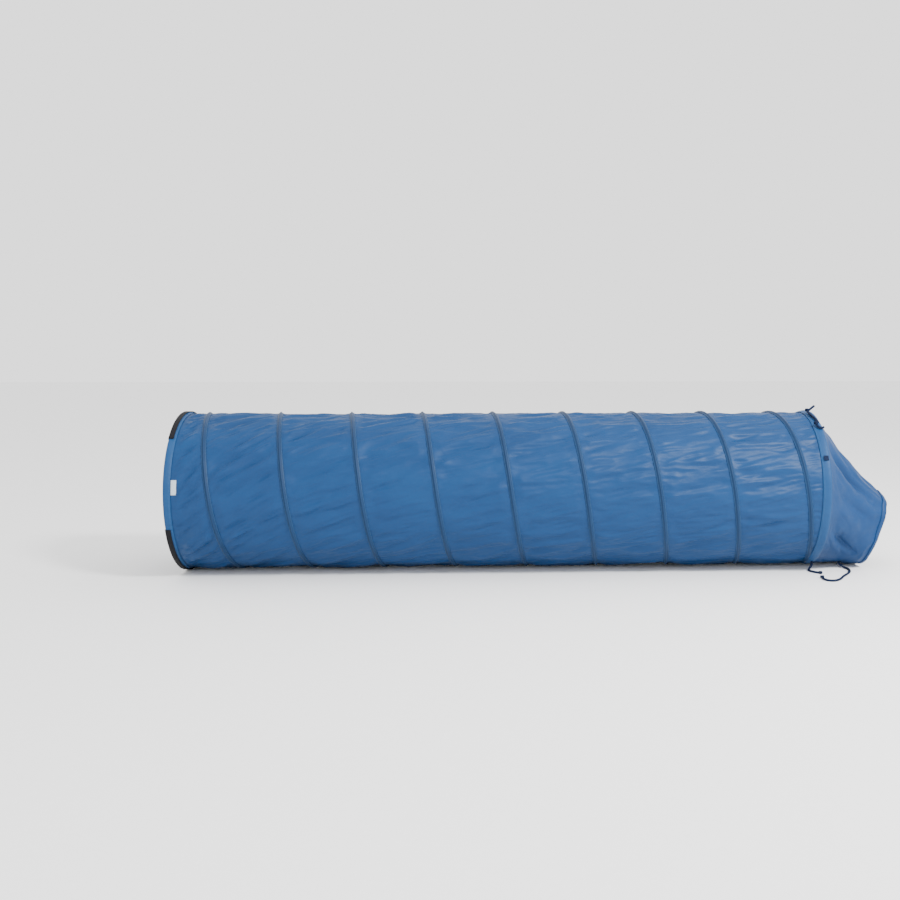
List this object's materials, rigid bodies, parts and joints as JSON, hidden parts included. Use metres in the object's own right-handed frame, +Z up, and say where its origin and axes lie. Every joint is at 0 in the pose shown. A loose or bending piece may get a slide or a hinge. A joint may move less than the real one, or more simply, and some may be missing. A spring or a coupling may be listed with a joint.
{
  "type": "agility tunnel",
  "caption": "Collapsible dog agility tunnel: a satin nylon tube on a spiral spring wire, with hemmed end hoops, black rim guards, tie cords and a limp tail sleeve.",
  "frame": {"origin": "on the floor, under the middle of the bounding box, measured without the free tie cords", "axes": "+X along the tunnel from the entry to the tail, +Z up, -Y the side that the tie cords lie on"},
  "size_m": [2.4854, 0.5979, 0.5783],
  "materials": {
    "tunnel_cloth": "satin",
    "casing_tape": "satin",
    "hem_cloth": "satin",
    "tail_cloth": "satin",
    "webbing": "woven, matt",
    "label": "woven, matt",
    "spring_wire": "oiled spring steel",
    "ferrule": "satin",
    "tie_cord": "woven"
  },
  "bodies": {
    "entry": {"entry_hoop_wire": "spring_wire", "entry_hoop_ferrule": "ferrule", "entry_hem": "hem_cloth", "entry_guard_upper": "webbing", "entry_guard_lower": "webbing", "care_label": "label"},
    "bay_1": {"coil_turn_1": "spring_wire", "casing_1": "casing_tape", "panel_1": "tunnel_cloth"},
    "bay_2": {"coil_turn_2": "spring_wire", "casing_2": "casing_tape", "panel_2": "tunnel_cloth"},
    "bay_3": {"coil_turn_3": "spring_wire", "casing_3": "casing_tape", "panel_3": "tunnel_cloth"},
    "bay_4": {"coil_turn_4": "spring_wire", "casing_4": "casing_tape", "panel_4": "tunnel_cloth"},
    "bay_5": {"coil_turn_5": "spring_wire", "casing_5": "casing_tape", "panel_5": "tunnel_cloth"},
    "bay_6": {"coil_turn_6": "spring_wire", "casing_6": "casing_tape", "panel_6": "tunnel_cloth"},
    "bay_7": {"coil_turn_7": "spring_wire", "casing_7": "casing_tape", "panel_7": "tunnel_cloth"},
    "bay_8": {"coil_turn_8": "spring_wire", "casing_8": "casing_tape", "panel_8": "tunnel_cloth"},
    "bay_9": {"coil_turn_9": "spring_wire", "casing_9": "casing_tape", "panel_9": "tunnel_cloth", "exit_hoop_wire": "spring_wire", "exit_hoop_ferrule": "ferrule", "exit_hem": "hem_cloth", "tie_tab": "tie_cord", "tail_sleeve": "tail_cloth", "upper_tie_back": "tie_cord", "upper_tie_front": "tie_cord", "upper_tie_knot": "tie_cord", "side_tie": "tie_cord", "side_tie_knot": "tie_cord", "lower_tie_short": "tie_cord", "lower_tie_short_knot": "tie_cord", "lower_tie_long": "tie_cord", "lower_tie_long_knot": "tie_cord"},
    "tail_end": {"tail_hem": "tail_cloth"}
  },
  "joints": [
    {"name": "fold_1", "type": "slide", "parent": "entry", "child": "bay_1", "axis": [1, 0, 0], "range_m": [-0.1674, 0], "stiffness_N_per_m": 135, "deforming": ["coil_turn_1", "casing_1", "panel_1"]},
    {"name": "fold_2", "type": "slide", "parent": "bay_1", "child": "bay_2", "axis": [1, 0, 0], "range_m": [-0.22546, 0], "stiffness_N_per_m": 135, "deforming": ["coil_turn_2", "casing_2", "panel_2"]},
    {"name": "fold_3", "type": "slide", "parent": "bay_2", "child": "bay_3", "axis": [1, 0, 0], "range_m": [-0.22546, 0], "stiffness_N_per_m": 135, "deforming": ["coil_turn_3", "casing_3", "panel_3"]},
    {"name": "fold_4", "type": "slide", "parent": "bay_3", "child": "bay_4", "axis": [1, 0, 0], "range_m": [-0.22546, 0], "stiffness_N_per_m": 135, "deforming": ["coil_turn_4", "casing_4", "panel_4"]},
    {"name": "fold_5", "type": "slide", "parent": "bay_4", "child": "bay_5", "axis": [1, 0, 0], "range_m": [-0.22546, 0], "stiffness_N_per_m": 135, "deforming": ["coil_turn_5", "casing_5", "panel_5"]},
    {"name": "fold_6", "type": "slide", "parent": "bay_5", "child": "bay_6", "axis": [1, 0, 0], "range_m": [-0.22546, 0], "stiffness_N_per_m": 135, "deforming": ["coil_turn_6", "casing_6", "panel_6"]},
    {"name": "fold_7", "type": "slide", "parent": "bay_6", "child": "bay_7", "axis": [1, 0, 0], "range_m": [-0.22546, 0], "stiffness_N_per_m": 135, "deforming": ["coil_turn_7", "casing_7", "panel_7"]},
    {"name": "fold_8", "type": "slide", "parent": "bay_7", "child": "bay_8", "axis": [1, 0, 0], "range_m": [-0.22546, 0], "stiffness_N_per_m": 135, "deforming": ["coil_turn_8", "casing_8", "panel_8"]},
    {"name": "fold_9", "type": "slide", "parent": "bay_8", "child": "bay_9", "axis": [1, 0, 0], "range_m": [-0.20926, 0], "stiffness_N_per_m": 135, "deforming": ["coil_turn_9", "casing_9", "panel_9"]},
    {"name": "tail_lift", "type": "hinge", "parent": "bay_9", "child": "tail_end", "pos_m": [0.98435, 0, 0.5529], "axis": [0, -1, 0], "range_deg": [0, 35], "deforming": ["tail_sleeve"]}
  ],
  "couplings": [
    {"joint": "fold_2", "follows": "fold_1", "ratio": 1.3468},
    {"joint": "fold_3", "follows": "fold_1", "ratio": 1.3468},
    {"joint": "fold_4", "follows": "fold_1", "ratio": 1.3468},
    {"joint": "fold_5", "follows": "fold_1", "ratio": 1.3468},
    {"joint": "fold_6", "follows": "fold_1", "ratio": 1.3468},
    {"joint": "fold_7", "follows": "fold_1", "ratio": 1.3468},
    {"joint": "fold_8", "follows": "fold_1", "ratio": 1.3468},
    {"joint": "fold_9", "follows": "fold_1", "ratio": 1.25}
  ]
}
